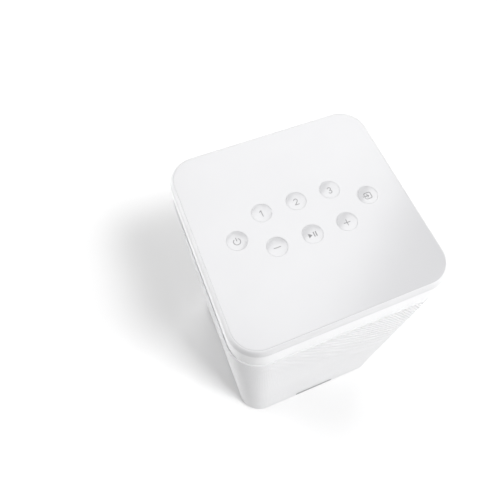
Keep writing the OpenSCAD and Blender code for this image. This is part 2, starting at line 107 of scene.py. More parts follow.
class Nodes:
    """Builds one material's node tree a step at a time."""

    def __init__(self, name):
        self.material = bpy.data.materials.new(name)
        self.material.use_nodes = True
        self.tree = self.material.node_tree
        self.shader = self.tree.nodes["Principled BSDF"]
        self.where = self.tree.nodes.new("ShaderNodeTexCoord").outputs["Object"]

    def add(self, kind, inputs=(), **settings):
        node = self.tree.nodes.new(kind)
        for key, value in settings.items():
            setattr(node, key, value)
        for key, value in dict(inputs).items():
            if isinstance(value, bpy.types.NodeSocket):
                self.tree.links.new(value, node.inputs[key])
            else:
                node.inputs[key].default_value = value
        return node

    def set(self, **values):
        """Sets or links the shader's sockets; an underscore stands for a space."""
        for key, value in values.items():
            socket = self.shader.inputs[key.replace("_", " ")]
            if isinstance(value, bpy.types.NodeSocket):
                self.tree.links.new(value, socket)
            else:
                socket.default_value = value

    def stretched(self, scale):
        return self.add("ShaderNodeMapping", {"Vector": self.where, "Scale": scale}).outputs[0]

    def noise(self, scale, detail=3.0, rough=0.55, vector=None):
        node = self.add(
            "ShaderNodeTexNoise",
            {"Vector": vector or self.where, "Scale": scale, "Detail": detail, "Roughness": rough},
        )
        return node.outputs["Fac"]

    def cells(self, scale, feature="F1"):
        node = self.add("ShaderNodeTexVoronoi", {"Vector": self.where, "Scale": scale}, feature=feature)
        return node.outputs["Distance"]

    def bands(self, axis, period, vector=None):
        """Soft waves along one axis, one each period."""
        node = self.add(
            "ShaderNodeTexWave",
            {"Vector": vector or self.where, "Scale": math.pi / (10 * period)},
            bands_direction=axis,
        )
        return node.outputs["Fac"]

    def spread(self, value, low, high, start=0.3, end=0.7):
        node = self.add(
            "ShaderNodeMapRange",
            {"Value": value, "From Min": start, "From Max": end, "To Min": low, "To Max": high},
        )
        return node.outputs["Result"]

    def maths(self, operation, first, second):
        return self.add("ShaderNodeMath", {0: first, 1: second}, operation=operation).outputs[0]

    def ramp(self, value, stops):
        node = self.add("ShaderNodeValToRGB", {"Fac": value})
        elements = node.color_ramp.elements
        while len(elements) < len(stops):
            elements.new(0.5)
        for element, (at, colour) in zip(elements, stops):
            element.position = at
            element.color = (*colour, 1.0)
        return node.outputs["Color"]

    def bump(self, height, depth, strength=1.0, under=None):
        inputs = {"Height": height, "Distance": depth, "Strength": strength}
        if under is not None:
            inputs["Normal"] = under
        return self.add("ShaderNodeBump", inputs).outputs["Normal"]


def tinted(colour, factor):
    return tuple(min(1.0, channel * factor) for channel in colour)


# ---------- materials ----------

def moulded(name, colour, rough, grain=2600.0, relief=0.006 * MM, vary=0.025):
    """Injection-moulded plastic: a fine spark-eroded grain, faint flow marks, uneven sheen."""
    m = Nodes(name)
    flow = m.noise(28.0, 4.0, 0.5)
    m.set(Base_Color=m.ramp(flow, [(0.3, tinted(colour, 1 - vary)), (0.7, tinted(colour, 1 + vary))]))
    fine = m.noise(grain, 4.0, 0.6)
    sheen = m.noise(140.0, 5.0, 0.6)
    m.set(Roughness=m.spread(m.maths("ADD", m.maths("MULTIPLY", fine, 0.4), m.maths("MULTIPLY", sheen, 0.6)),
                             rough - 0.06, rough + 0.07))
    m.set(Normal=m.bump(fine, relief, 0.6), Specular_IOR_Level=0.5)
    return m.material


def glossy(name, colour, rough, coat, shine=0.5):
    """Polished plastic: very slight waviness and haze."""
    m = Nodes(name)
    cloud = m.noise(24.0, 3.0, 0.5)
    m.set(Base_Color=m.ramp(cloud, [(0.3, tinted(colour, 0.99)), (0.7, tinted(colour, 1.01))]))
    haze = m.noise(60.0, 6.0, 0.65)
    m.set(Roughness=m.spread(haze, rough - 0.03, rough + 0.04))
    wavy = m.noise(70.0, 2.0, 0.4)
    m.set(Normal=m.bump(wavy, 0.004 * MM, 0.3))
    m.set(Coat_Weight=coat, Coat_Roughness=0.22, Specular_IOR_Level=shine)
    return m.material


def satin(name, colour, rough):
    """Lightly blasted plastic of a very even tone, with a faint grain."""
    m = Nodes(name)
    cloud = m.noise(30.0, 3.0, 0.5)
    m.set(Base_Color=m.ramp(cloud, [(0.3, tinted(colour, 0.99)), (0.7, tinted(colour, 1.01))]))
    grain = m.noise(3600.0, 3.0, 0.6)
    m.set(Roughness=m.spread(grain, rough - 0.05, rough + 0.05))
    m.set(Normal=m.bump(grain, 0.003 * MM, 0.4), Specular_IOR_Level=0.4)
    return m.material


def powder_coat(name, colour, rough=0.42):
    """Baked paint on sheet metal: an orange-peel skin over fine grains."""
    m = Nodes(name)
    cloud = m.noise(18.0, 3.0, 0.5)
    m.set(Base_Color=m.ramp(cloud, [(0.3, tinted(colour, 0.985)), (0.7, tinted(colour, 1.015))]))
    peel = m.noise(1500.0, 2.0, 0.5)
    grains = m.noise(5200.0, 2.0, 0.5)
    m.set(Roughness=m.spread(peel, rough - 0.05, rough + 0.06))
    m.set(Normal=m.bump(grains, 0.002 * MM, 0.5, m.bump(peel, 0.008 * MM, 0.5)))
    return m.material


def woven(name, colour, thread, depth=0.06 * MM, rough=0.9):
    """Plain-weave cloth of that thread spacing, worked out round the column from x, y and z."""
    m = Nodes(name)
    across = m.add("ShaderNodeSeparateXYZ", {"Vector": m.where})
    around = m.maths("SUBTRACT", across.outputs["X"], across.outputs["Y"])
    flat = m.add("ShaderNodeCombineXYZ", {"X": around, "Y": across.outputs["Z"]}).outputs[0]
    warp = m.bands("X", thread, flat)
    weft = m.bands("Y", thread, flat)
    weave = m.maths("ADD", m.maths("MULTIPLY", warp, 0.5), m.maths("MULTIPLY", weft, 0.5))
    fibre = m.noise(4200.0, 3.0, 0.6)
    height = m.maths("ADD", m.maths("MULTIPLY", weave, 0.8), m.maths("MULTIPLY", fibre, 0.2))
    m.set(Base_Color=m.ramp(height, [(0.2, tinted(colour, 0.72)), (0.75, tinted(colour, 1.05))]))
    m.set(Roughness=m.spread(fibre, rough - 0.06, min(1.0, rough + 0.06)))
    m.set(Normal=m.bump(height, depth, 0.8), Sheen_Weight=0.2, Sheen_Roughness=0.5)
    return m.material


def metal(name, colour, rough, brush=(1.0, 1.0, 1.0), relief=0.004 * MM):
    """Bare or plated metal: brush lines along the axis with the smallest scale, and dull patches."""
    m = Nodes(name)
    lines = m.noise(2400.0, 4.0, 0.6, m.stretched(brush))
    patches = m.noise(70.0, 5.0, 0.6)
    m.set(Base_Color=m.ramp(patches, [(0.3, tinted(colour, 0.9)), (0.7, tinted(colour, 1.06))]))
    mixed = m.maths("ADD", m.maths("MULTIPLY", lines, 0.6), m.maths("MULTIPLY", patches, 0.4))
    m.set(Roughness=m.spread(mixed, rough - 0.08, rough + 0.12))
    m.set(Normal=m.bump(lines, relief, 0.5), Metallic=1.0)
    return m.material


def rubbery(name, colour, rough):
    """Moulded rubber: a dull, slightly bloomed skin with a soft grain."""
    m = Nodes(name)
    bloom = m.noise(110.0, 6.0, 0.65)
    m.set(Base_Color=m.ramp(bloom, [(0.35, tinted(colour, 0.85)), (0.75, tinted(colour, 1.5))]))
    grain = m.cells(1700.0)
    m.set(Roughness=m.spread(bloom, rough - 0.1, rough + 0.08))
    m.set(Normal=m.bump(grain, 0.02 * MM, 0.4), Specular_IOR_Level=0.35)
    return m.material


def fibrous(name, colour, scale=900.0, relief=0.15 * MM, rough=0.95, sheen=0.3):
    """Felted paper, wadding or impregnated cloth: tangled fibres of uneven tone."""
    m = Nodes(name)
    tangle = m.noise(scale, 8.0, 0.75)
    veins = m.cells(scale * 0.6, feature="F2")
    mixed = m.maths("ADD", m.maths("MULTIPLY", tangle, 0.7), m.maths("MULTIPLY", veins, 0.3))
    m.set(Base_Color=m.ramp(mixed, [(0.3, tinted(colour, 0.75)), (0.7, tinted(colour, 1.15))]))
    m.set(Roughness=m.spread(tangle, rough - 0.1, rough))
    m.set(Normal=m.bump(mixed, relief, 0.6), Sheen_Weight=sheen)
    return m.material


def circuit(name, mask, copper):
    """A printed board: solder mask over tracks, with small bright pads."""
    m = Nodes(name)
    grid = m.add(
        "ShaderNodeTexBrick",
        {"Vector": m.where, "Scale": 260.0, "Mortar Size": 0.012, "Color1": (0, 0, 0, 1),
         "Color2": (0.35, 0.35, 0.35, 1), "Mortar": (1, 1, 1, 1), "Brick Width": 0.7},
    ).outputs["Color"]
    tracks = m.add("ShaderNodeSeparateColor", {"Color": grid}).outputs[0]
    pads = m.spread(m.cells(330.0), 1.0, 0.0, 0.06, 0.09)
    base = m.ramp(tracks, [(0.2, mask), (0.9, copper)])
    tin = m.add("ShaderNodeMix", data_type="RGBA")
    m.tree.links.new(pads, tin.inputs[0])
    m.tree.links.new(base, tin.inputs[6])
    tin.inputs[7].default_value = (0.62, 0.62, 0.6, 1)
    m.set(Base_Color=tin.outputs[2], Roughness=m.spread(m.noise(300.0), 0.28, 0.42))
    m.set(Normal=m.bump(tracks, 0.03 * MM, 0.5), Coat_Weight=0.3)
    return m.material


def ceramic(name, colour):
    """Sintered ferrite: dark, dense, with pores and a little metal in the sheen."""
    m = Nodes(name)
    pores = m.cells(1300.0)
    cloud = m.noise(90.0, 6.0, 0.6)
    m.set(Base_Color=m.ramp(cloud, [(0.3, tinted(colour, 0.8)), (0.7, tinted(colour, 1.3))]))
    m.set(Roughness=m.spread(cloud, 0.5, 0.7))
    m.set(Normal=m.bump(pores, 0.03 * MM, 0.4), Metallic=0.15)
    return m.material


def wound(name, colour, pitch, axis):
    """Turns of fine wire or tape side by side along an axis."""
    m = Nodes(name)
    turns = m.bands(axis, pitch)
    tone = m.noise(160.0, 4.0, 0.6)
    mixed = m.maths("ADD", m.maths("MULTIPLY", turns, 0.6), m.maths("MULTIPLY", tone, 0.4))
    m.set(Base_Color=m.ramp(mixed, [(0.2, tinted(colour, 0.6)), (0.8, tinted(colour, 1.15))]))
    m.set(Roughness=m.spread(tone, 0.3, 0.45), Normal=m.bump(turns, 0.04 * MM, 0.7))
    return m.material


# the panel's and keys' white plastic, painted light grey as shade on the top; the cap keeps the lit white
PANEL_SHADED_WHITE = (0.62, 0.62, 0.633)
# the rim's white, painted grey as the shade on the cap's rounded edge
RIM_SHADED_WHITE = (0.74, 0.74, 0.75)
CAP_WHITE = (0.89, 0.89, 0.9)

MATERIALS = {
    # panel and keys: their white painted light grey as shade on the top
    "panel_gloss": glossy("panel_gloss", PANEL_SHADED_WHITE, 0.22, 1.0, 1.0),
    "housing_white": moulded("housing_white", CAP_WHITE, 0.38, grain=3200.0, relief=0.004 * MM, vary=0.01),
    "key_white": glossy("key_white", PANEL_SHADED_WHITE, 0.22, 1.0, 1.0),
    "circuit_board": circuit("circuit_board", (0.02, 0.16, 0.075), (0.035, 0.24, 0.11)),
    "black_plastic": moulded("black_plastic", (0.022, 0.022, 0.024), 0.55, relief=0.012 * MM, vary=0.15),
    "flex_film": moulded("flex_film", (0.62, 0.56, 0.42), 0.3, grain=900.0, vary=0.05),
    "sleeve_paint": powder_coat("sleeve_paint", (0.855, 0.855, 0.865)),
    "liner_cloth": woven("liner_cloth", (0.86, 0.86, 0.86), 0.45 * MM),
    "badge_metal": metal("badge_metal", (0.5, 0.5, 0.51), 0.45, (0.03, 1.0, 1.0)),
    "rubber": rubbery("rubber", (0.035, 0.035, 0.037), 0.8),
    "panel_grey": moulded("panel_grey", (0.36, 0.36, 0.38), 0.5, grain=1800.0, relief=0.014 * MM, vary=0.05),
    "key_grey": moulded("key_grey", (0.6, 0.6, 0.62), 0.42, vary=0.03),
    "cabinet_plastic": moulded("cabinet_plastic", (0.045, 0.045, 0.048), 0.62, grain=1500.0,
                               relief=0.02 * MM, vary=0.12),
    "wadding": fibrous("wadding", (0.66, 0.66, 0.63), 700.0, 0.4 * MM),
    "black_steel": powder_coat("black_steel", (0.028, 0.028, 0.03), 0.5),
    "cone_paper": fibrous("cone_paper", (0.035, 0.035, 0.038), 1100.0, 0.06 * MM, 0.85, 0.1),
    "copper": wound("copper", (0.72, 0.33, 0.16), 0.3 * MM, "Y"),
    "spider_cloth": woven("spider_cloth", (0.55, 0.36, 0.1), 0.6 * MM, 0.1 * MM, 0.8),
    "plated_steel": metal("plated_steel", (0.66, 0.66, 0.67), 0.3),
    "ferrite": ceramic("ferrite", (0.045, 0.045, 0.048)),
    "dome_metal": metal("dome_metal", (0.76, 0.77, 0.79), 0.28),
    "heat_sink_alloy": metal("heat_sink_alloy", (0.7, 0.71, 0.72), 0.4, (1.0, 0.04, 1.0)),
    "shield_metal": metal("shield_metal", (0.7, 0.7, 0.71), 0.3, (0.05, 1.0, 1.0)),
    "power_laminate": circuit("power_laminate", (0.36, 0.25, 0.08), (0.42, 0.3, 0.11)),
    "transformer_tape": wound("transformer_tape", (0.7, 0.5, 0.07), 3.0 * MM, "Z"),
    "capacitor_sleeve": glossy("capacitor_sleeve", (0.02, 0.03, 0.11), 0.25, 0.2),
    "lead_red": moulded("lead_red", (0.5, 0.03, 0.025), 0.45, grain=1200.0, vary=0.08),
    "zinc_steel": metal("zinc_steel", (0.58, 0.58, 0.6), 0.36, relief=0.006 * MM),
}
# satin for the cap's rounded edge, in its white painted grey as shade
RIM_SHADED_SATIN = satin("rim_shaded_satin", RIM_SHADED_WHITE, 0.5)
ICON_INK = moulded("icon_ink", (0.27, 0.27, 0.275), 0.5, grain=4200.0, relief=0.002 * MM, vary=0.08)


# ---------- mesh helpers ----------

def made(name, vertices, faces, slot, body="chassis", stands_for=(), material=None):
    """A finished piece: its mesh, smooth where its faces meet softly, its material (picked by slot unless
    one is given) and body.
    """
    mesh = bpy.data.meshes.new(name)
    mesh.from_pydata([tuple(v) for v in vertices], [], [tuple(f) for f in faces])
    return finished(name, mesh, slot, body, stands_for, material)


def made_from_triangles(name, vertices, triangles, slot, stands_for):
    """The same for large arrays of triangles, on the chassis."""
    mesh = bpy.data.meshes.new(name)
    mesh.vertices.add(len(vertices))
    mesh.vertices.foreach_set("co", np.asarray(vertices, np.float32).ravel())
    mesh.loops.add(triangles.size)
    mesh.loops.foreach_set("vertex_index", triangles.astype(np.int32).ravel())
    mesh.polygons.add(len(triangles))
    mesh.polygons.foreach_set("loop_start", np.arange(0, triangles.size, 3, dtype=np.int32))
    mesh.update(calc_edges=True)
    return finished(name, mesh, slot, "chassis", stands_for)


def finished(name, mesh, slot, body, stands_for, material=None, crease=40.0):
    """Shades a mesh, makes it a piece on a body and hides the CAD nodes it stands for."""
    mesh.validate()
    mesh.shade_smooth()
    mesh.set_sharp_from_angle(angle=math.radians(crease))
    mesh.materials.append(material or MATERIALS[slot])
    piece = bpy.data.objects.new(name, mesh)
    bpy.context.scene.collection.objects.link(piece)
    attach(piece, body)
    if stands_for:
        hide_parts(*stands_for)
    return piece


class Build:
    """Collects vertices and faces of one mesh."""

    def __init__(self):
        self.vertices = []
        self.faces = []

    def ring(self, points):
        start = len(self.vertices)
        self.vertices.extend(points)
        return list(range(start, start + len(points)))

    def join(self, low, high):
        """Quads between two closed rings of the same count."""
        count = len(low)
        for i in range(count):
            j = (i + 1) % count
            self.faces.append((low[i], low[j], high[j], high[i]))

    def lathe(self, profile, centre=(0.0, 0.0), steps=96, closed=False):
        """Turns a profile of (radius, height) about a vertical axis; a radius of 0 makes a point."""
        rings = []
        for radius, height in profile:
            count = 1 if radius == 0 else steps
            rings.append(self.ring([
                (centre[0] + radius * math.cos(2 * math.pi * i / steps),
                 centre[1] + radius * math.sin(2 * math.pi * i / steps), height)
                for i in range(count)]))
        pairs = list(zip(rings, rings[1:] + ([rings[0]] if closed else [])))
        for low, high in pairs[:len(rings) - (0 if closed else 1)]:
            if len(low) == 1 and len(high) == 1:
                continue
            if len(low) == 1:
                self.faces.extend((low[0], high[(i + 1) % steps], high[i]) for i in range(steps))
            elif len(high) == 1:
                self.faces.extend((low[i], low[(i + 1) % steps], high[0]) for i in range(steps))
            else:
                self.join(low, high)


def outline(inset):
    """Points round the column's outline pulled in by inset, with enough points for a smooth corner."""
    straight, arc = 24, 20
    points = []
    for quarter in range(4):
        turn = quarter * math.pi / 2
        along = (math.cos(turn), math.sin(turn))
        out = (math.sin(turn), -math.cos(turn))
        for i in range(straight):
            s = CORNER_AT * (2 * i / straight - 1)
            points.append(tuple(out[k] * (HALF - inset) + along[k] * s for k in (0, 1)))
        for i in range(arc):
            a = math.pi / 2 * i / arc
            points.append(tuple(
                (along[k] + out[k]) * CORNER_AT
                + (CORNER_R - inset) * (out[k] * math.cos(a) + along[k] * math.sin(a))
                for k in (0, 1)))
    return points


def swept(profile):
    """Sweeps a closed profile of (inset, height) round the column; it climbs on the outside."""
    build = Build()
    rings = [build.ring([(x, y, z) for x, y in outline(inset)]) for inset, z in profile]
    for low, high in zip(rings, rings[1:] + rings[:1]):
        build.join(low, high)
    return build


def flat_fill(loops):
    """A flat bmesh inside the first loop and outside the others."""
    sheet = bmesh.new()
    for loop in loops:
        points = [sheet.verts.new((x, y, 0.0)) for x, y in loop]
        for i, point in enumerate(points):
            sheet.edges.new((point, points[(i + 1) % len(points)]))
    bmesh.ops.triangle_fill(sheet, use_beauty=True, edges=list(sheet.edges), normal=(0, 0, 1))
    return sheet


def filled(loops):
    """Triangles over a flat region: the first loop is its outline and the rest are holes in it."""
    sheet = flat_fill(loops)
    sheet.verts.index_update()
    triangles = [[v.index for v in face.verts] for face in sheet.faces]
    sheet.free()
    return triangles


def circle(centre, radius, steps):
    return [(centre[0] + radius * math.cos(2 * math.pi * i / steps),
             centre[1] + radius * math.sin(2 * math.pi * i / steps)) for i in range(steps)]


def dish(radius):
    """Height of the dish's surface below the panel: a shallow bowl whose rim fades into the flat."""
    depth = DISH_DEPTH * (1 - (radius / DISH_R) ** 2)
    return -(depth + math.sqrt(depth * depth + DISH_BLEND ** 2)) / 2


# ---------- keys ----------

KEY_NODES = ["power_button", "source_button", "preset_one_button", "preset_two_button",
             "preset_three_button", "minus_button", "play_button", "plus_button"]


def middle_of(node):
    low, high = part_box(node)
    return ((low.x + high.x) / 2, (low.y + high.y) / 2)


KEY_AT = {node: middle_of(node) for node in KEY_NODES}


def make_key(node):
    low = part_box(node)[0]
    flange_low = PANEL_Z - 0.1 * MM - 1.5 * MM
    flange_high = PANEL_Z - 0.1 * MM
    bevel = 0.03 * MM
    edge = KEY_R - bevel
    rings = 24
    profile = [(edge * i / rings, TOP + dish(edge * i / rings)) for i in range(rings + 1)]
    rim = TOP + dish(KEY_R)
    profile += [(KEY_R - 0.3 * bevel, rim - 0.25 * bevel), (KEY_R, rim - bevel)]
    profile += [(KEY_R, flange_high), (FLANGE_R - 0.2 * MM, flange_high),
                (FLANGE_R, flange_high - 0.2 * MM), (FLANGE_R, flange_low),
                (1.5 * MM, flange_low), (1.5 * MM, low.z + 0.2 * MM), (1.3 * MM, low.z), (0, low.z)]
    build = Build()
    build.lathe(profile[::-1], KEY_AT[node])
    return made(node.replace("_button", "_key"), build.vertices, build.faces, "key_white", node, [node])


for key_node in KEY_NODES:
    make_key(key_node)


# ---------- icons on the keys ----------

STROKE = 0.44 * MM


def ribbon(path, width=STROKE):
    """A flat stroke along a path of 2-D points, with round ends, as a list of one outline loop."""
    sides = ([], [])
    for before, point, after in zip(path[:1] + path, path, path[1:] + path[-1:]):
        dx, dy = after[0] - before[0], after[1] - before[1]
        length = math.hypot(dx, dy)
        nx, ny = -dy / length * width / 2, dx / length * width / 2
        sides[0].append((point[0] + nx, point[1] + ny))
        sides[1].append((point[0] - nx, point[1] - ny))
    return [sides[0] + rounded_end(path[-1], path[-2], width)
            + sides[1][::-1] + rounded_end(path[0], path[1], width)]


def rounded_end(tip, inner, width):
    """The points of a half circle past the tip of a stroke."""
    heading = math.atan2(tip[1] - inner[1], tip[0] - inner[0])
    return [(tip[0] + width / 2 * math.cos(heading + math.pi / 2 - math.pi * i / 8),
             tip[1] + width / 2 * math.sin(heading + math.pi / 2 - math.pi * i / 8))
            for i in range(1, 8)]


def arc_path(centre, radius, start, end, steps=28):
    """Points of an arc between two angles in degrees."""
    return [(centre[0] + radius * math.cos(math.radians(start + (end - start) * i / steps)),
             centre[1] + radius * math.sin(math.radians(start + (end - start) * i / steps)))
            for i in range(steps + 1)]


def line_path(*corners, step=0.35 * MM):
    """Points along straight runs between corners."""
    points = [corners[0]]
    for a, b in zip(corners, corners[1:]):
        runs = max(1, round(math.dist(a, b) / step))
        points += [(a[0] + (b[0] - a[0]) * i / runs, a[1] + (b[1] - a[1]) * i / runs)
                   for i in range(1, runs + 1)]
    return points


def icon_strokes():
    """Each key's mark as strokes about the key's middle, upright seen from the front."""
    u = MM
    power = [ribbon(arc_path((0, -0.1 * u), 1.95 * u, 90 + 38, 90 + 322, 44)),
             ribbon(line_path((0, 0.35 * u), (0, 2.3 * u)))]
    one = [ribbon(line_path((-0.75 * u, 1.25 * u), (0.15 * u, 1.9 * u))),
           ribbon(line_path((0.25 * u, 1.95 * u), (0.25 * u, -1.95 * u)))]
    two = [ribbon(arc_path((0, 0.9 * u), 1.05 * u, 165, -38, 24)
                  + line_path((0.75 * u, 0.15 * u), (-1.1 * u, -1.8 * u))),
           ribbon(line_path((-1.15 * u, -1.9 * u), (1.2 * u, -1.9 * u)))]
    three = [ribbon(arc_path((0, 0.98 * u), 0.95 * u, 160, -90, 24)),
             ribbon(arc_path((0, -0.95 * u), 1.02 * u, 90, -160, 26))]
    minus = [ribbon(line_path((-1.9 * u, 0), (1.9 * u, 0)))]
    plus = [ribbon(line_path((-1.9 * u, 0), (1.9 * u, 0))), ribbon(line_path((0, -1.9 * u), (0, 1.9 * u)))]
    triangle = [[(-2.5 * u, -1.45 * u), (-0.1 * u, 0), (-2.5 * u, 1.45 * u)]]
    bars = [ribbon(line_path((x * u, -1.3 * u), (x * u, 1.3 * u)), width=0.6 * u) for x in (0.85, 2.1)]
    r = 0.9 * u
    frame_path = (line_path((-1.9 * u, 0.75 * u), (-1.9 * u, 1.1 * u))
                  + arc_path((-1.0 * u, 1.1 * u), r, 180, 90, 8)[1:]
                  + line_path((-1.0 * u, 2.0 * u), (1.2 * u, 2.0 * u))[1:]
                  + arc_path((1.2 * u, 1.1 * u), r, 90, 0, 8)[1:]
                  + line_path((2.1 * u, 1.1 * u), (2.1 * u, -1.1 * u))[1:]
                  + arc_path((1.2 * u, -1.1 * u), r, 0, -90, 8)[1:]
                  + line_path((1.2 * u, -2.0 * u), (-1.0 * u, -2.0 * u))[1:]
                  + arc_path((-1.0 * u, -1.1 * u), r, -90, -180, 8)[1:]
                  + line_path((-1.9 * u, -1.1 * u), (-1.9 * u, -0.75 * u))[1:])
    source = [ribbon(frame_path), ribbon(line_path((-2.9 * u, 0), (0.6 * u, 0))),
              ribbon(line_path((-0.35 * u, 0.95 * u), (0.6 * u, 0), (-0.35 * u, -0.95 * u)))]
    return {"power_button": power, "preset_one_button": one, "preset_two_button": two,
            "preset_three_button": three, "minus_button": minus, "plus_button": plus,
            "play_button": [triangle] + bars, "source_button": source}


def make_icon(node, strokes):
    """Raised ink that follows the key's dish: each stroke is a thin closed body of its own."""
    cx, cy = KEY_AT[node]
    ink = bmesh.new()
    for level, loops in enumerate(strokes):
        layer = flat_fill(loops)
        for _ in range(3):
            long_edges = [e for e in layer.edges if e.calc_length() > 0.6 * MM]
            if not long_edges:
                break
            bmesh.ops.subdivide_edges(layer, edges=long_edges, cuts=1)
            bmesh.ops.triangulate(layer, faces=list(layer.faces))
        top = {}
        bottom = {}
        lift = (0.02 + 0.004 * level) * MM
        for v in layer.verts:
            surface = TOP + dish(math.hypot(v.co.x, v.co.y))
            top[v] = ink.verts.new((cx + v.co.x, cy + v.co.y, surface + lift))
            bottom[v] = ink.verts.new((cx + v.co.x, cy + v.co.y, surface - 0.04 * MM))
        for face in layer.faces:
            face_up = face.normal.z >= 0
            corners = list(face.verts) if face_up else list(face.verts)[::-1]
            ink.faces.new([top[v] for v in corners])
            ink.faces.new([bottom[v] for v in corners[::-1]])
        for edge in layer.edges:
            if len(edge.link_faces) == 1:
                face = edge.link_faces[0]
                a, b = edge.verts
                loop = next(l for l in face.loops if l.edge == edge)
                if (loop.vert == a) != (face.normal.z >= 0):
                    a, b = b, a
                ink.faces.new([top[b], top[a], bottom[a], bottom[b]])
        layer.free()
    mesh = bpy.data.meshes.new(node.replace("_button", "_icon"))
    ink.to_mesh(mesh)
    ink.free()
    return finished(mesh.name, mesh, "key_grey", node, (), ICON_INK, 50.0)


for key_node, key_strokes in icon_strokes().items():
    make_icon(key_node, key_strokes)


# ---------- top panel and cap ----------

def make_panel():
    """The glossy top: flat, with a soft dish sunk round each key and a hole for it."""
    steps = 96
    bevel = 0.05 * MM
    build = Build()
    flat_margin = 0.4 * MM             # a narrow band of faces that keeps the middle's shading flat
    loops = [outline(PANEL_IN + bevel + flat_margin)]
    loops += [circle(at, DISH_FLAT_R + flat_margin, steps) for at in KEY_AT.values()]
    flat_rings = [build.ring([(x, y, TOP) for x, y in loop]) for loop in loops]
    build.faces += [tuple(t) for t in filled(loops)]
    low_rim = build.ring([(x, y, TOP) for x, y in outline(PANEL_IN + bevel)])
    build.join(low_rim, flat_rings[0])
    dish_rims = [build.ring([(x, y, TOP + dish(DISH_FLAT_R)) for x, y in circle(at, DISH_FLAT_R, steps)])
                 for at in KEY_AT.values()]
    for outer, inner in zip(flat_rings[1:], dish_rims):
        build.join(outer, inner)
    for inset, z in ((0.3 * bevel, TOP - 0.25 * bevel), (0, TOP - bevel), (0, PANEL_Z)):
        next_rim = build.ring([(x, y, z) for x, y in outline(PANEL_IN + inset)])
        build.join(next_rim, low_rim)
        low_rim = next_rim
    hole_r = KEY_R + KEY_GAP
    rings = 12
    hole_loops = []
    for at, upper in zip(KEY_AT.values(), dish_rims):
        for i in range(1, rings + 1):
            radius = DISH_FLAT_R + (hole_r + 0.03 * MM - DISH_FLAT_R) * i / rings
            lower = build.ring([(x, y, TOP + dish(radius)) for x, y in circle(at, radius, steps)])
            build.join(upper, lower)
            upper = lower
        for z in (TOP + dish(hole_r) - 0.03 * MM, PANEL_Z):
            lower = build.ring([(x, y, z) for x, y in circle(at, hole_r, steps)])
            build.join(upper, lower)
            upper = lower
        hole_loops.append(upper)
    under = [outline(PANEL_IN)] + [circle(at, hole_r, steps) for at in KEY_AT.values()]
    order = low_rim + [i for loop in hole_loops for i in loop]
    build.faces += [tuple(order[i] for i in t[::-1]) for t in filled(under)]
    return made("panel_plate", build.vertices, build.faces, "panel_gloss", stands_for=["top_panel"])


def make_cap():
    """The cap's wall, down to the spigot that stands inside the sleeve, and the ledge under the rim."""
    low, high = CAP_STEP, CAP_STEP + CAP_LEAN
    inner_deck = RIM_IN + 2 * MM
    lean = EDGE_H / CAP_H * CAP_LEAN
    slope = CAP_LEAN / CAP_H
    profile = [(low + 0.15 * MM, CAP_Z), (low + 0.15 * MM * slope, CAP_Z + 0.15 * MM),
               (low + 0.5 * MM * slope, CAP_Z + 0.5 * MM), (high - lean, TOP - EDGE_H),
               (RIM_IN, TOP - EDGE_H), (RIM_IN, DECK_Z + 0.2 * MM), (inner_deck, DECK_Z + 0.2 * MM),
               (inner_deck, DECK_Z), (low + CAP_WALL + 0.6 * MM, DECK_Z),
               (low + CAP_WALL + 0.4 * MM, CAP_Z - SPIGOT_H),
               (SLEEVE_T + 0.3 * MM, CAP_Z - SPIGOT_H), (SLEEVE_T + 0.3 * MM, CAP_Z)]
    build = swept(profile)
    return made("cap_shell", build.vertices, build.faces, "housing_white", stands_for=["top_cap"])


def make_rim():
    """The cap's rounded upper edge, as smooth as the panel it frames, its white painted grey as the shade on
    the edge.
    """
    arc = 18
    start = CAP_STEP + CAP_LEAN * (1 - EDGE_H / CAP_H)
    width = RIM_IN - start
    profile = [(start + width * (1 - math.cos(math.pi / 2 * i / arc)),
                TOP - EDGE_H + EDGE_H * math.sin(math.pi / 2 * i / arc)) for i in range(arc + 1)]
    profile += [(RIM_IN, PANEL_Z), (RIM_IN - 0.2 * MM, TOP - EDGE_H)]
    build = swept(profile)
    # the rim's satin: the cap's white painted grey as shade on the edge
    return made("cap_rim", build.vertices, build.faces, "panel_gloss", stands_for=["top_cap"],
                material=RIM_SHADED_SATIN)


def make_deck():
    """The shelf inside the cap that carries the panel, with a well for each key's flange."""
    steps = 64
    build = Build()
    edge = outline(RIM_IN + 1.6 * MM)
    wells = [circle(at, FLANGE_R + 0.3 * MM, steps) for at in KEY_AT.values()]
    loops = [edge] + wells
    triangles = filled(loops)
    flat = [p for loop in loops for p in loop]
    upper = build.ring([(x, y, PANEL_Z) for x, y in flat])
    lower = build.ring([(x, y, DECK_Z) for x, y in flat])
    build.faces += [tuple(upper[i] for i in t) for t in triangles]
    build.faces += [tuple(lower[i] for i in t[::-1]) for t in triangles]
    start = 0
    for index, loop in enumerate(loops):
        ids = list(range(start, start + len(loop)))
        start += len(loop)
        if index == 0:
            build.join([lower[i] for i in ids], [upper[i] for i in ids])
        else:
            build.join([upper[i] for i in ids], [lower[i] for i in ids])
    post = (1.7 * MM, 4.2 * MM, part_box("cabinet_shell")[1].z + 0.2 * MM, 48 * MM, 46 * MM)
    boss = (1.15 * MM, 3.2 * MM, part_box("button_board")[1].z, 47 * MM, 18 * MM)
    top = DECK_Z + 0.3 * MM
    for sx in (-1, 1):
        for sy in (-1, 1):
            for bore_r, outer_r, foot, x, y in (post, boss):
                build.lathe([(bore_r, foot), (outer_r, foot), (outer_r, top), (bore_r, top)],
                            (sx * x, sy * y), 32, closed=True)
    return made("cap_deck", build.vertices, build.faces, "housing_white", stands_for=["top_cap"])


make_panel()
make_cap()
make_rim()
make_deck()


# ---------- sleeve ----------

